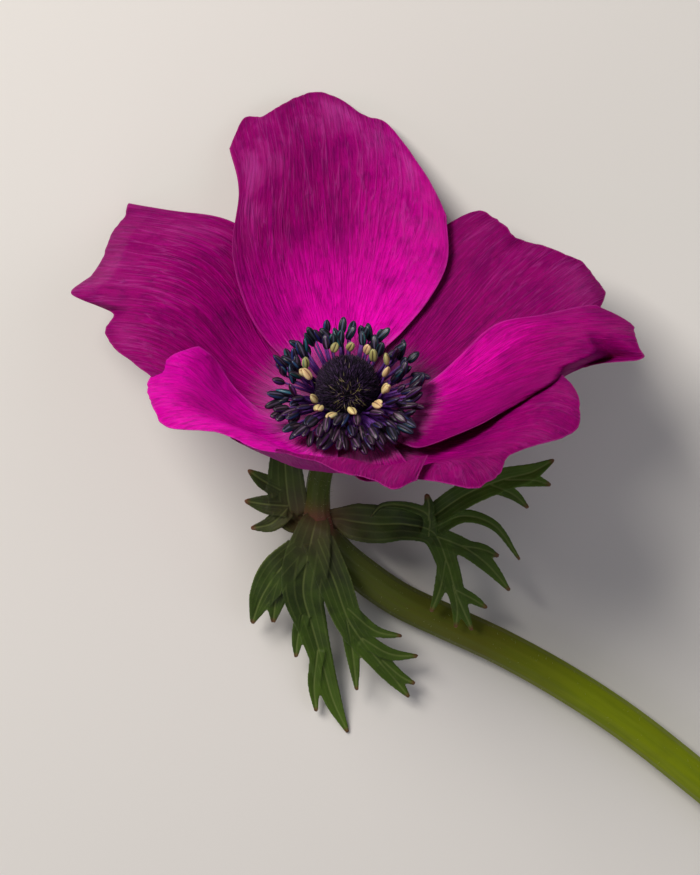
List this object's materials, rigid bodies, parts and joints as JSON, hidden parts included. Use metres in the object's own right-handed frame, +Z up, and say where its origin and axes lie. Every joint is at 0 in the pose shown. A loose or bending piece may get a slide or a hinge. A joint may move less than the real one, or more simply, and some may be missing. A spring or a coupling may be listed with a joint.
{
  "type": "anemone flower",
  "caption": "Cut poppy anemone lying on its side: an open magenta bloom with a dark centre, lacy green bracts under it and a long bent stem.",
  "frame": {"origin": "centre of the flower's bounding box, on the surface it lies on", "axes": "+Z up from the surface; +Y from the stem's side towards the tip of the petal that lies lowest; +X to the right when looking down on the open bloom"},
  "size_m": [0.1417, 0.1475, 0.0555],
  "materials": {
    "petal_tissue": "velvety, satin",
    "stem_tissue": "downy, satin",
    "leaf_tissue": "matt",
    "stamen_tissue": "satin",
    "pistil_tissue": "velvety"
  },
  "bodies": {
    "root": {"stem": "stem_tissue", "bract_low": "leaf_tissue", "bract_right": "leaf_tissue", "bract_back": "leaf_tissue", "petal_back": "petal_tissue", "petal_left": "petal_tissue", "petal_front_left": "petal_tissue", "petal_front": "petal_tissue", "petal_front_right": "petal_tissue", "petal_right": "petal_tissue", "petal_back_right": "petal_tissue", "stamens": "stamen_tissue", "pistils": "pistil_tissue"}
  },
  "joints": []
}
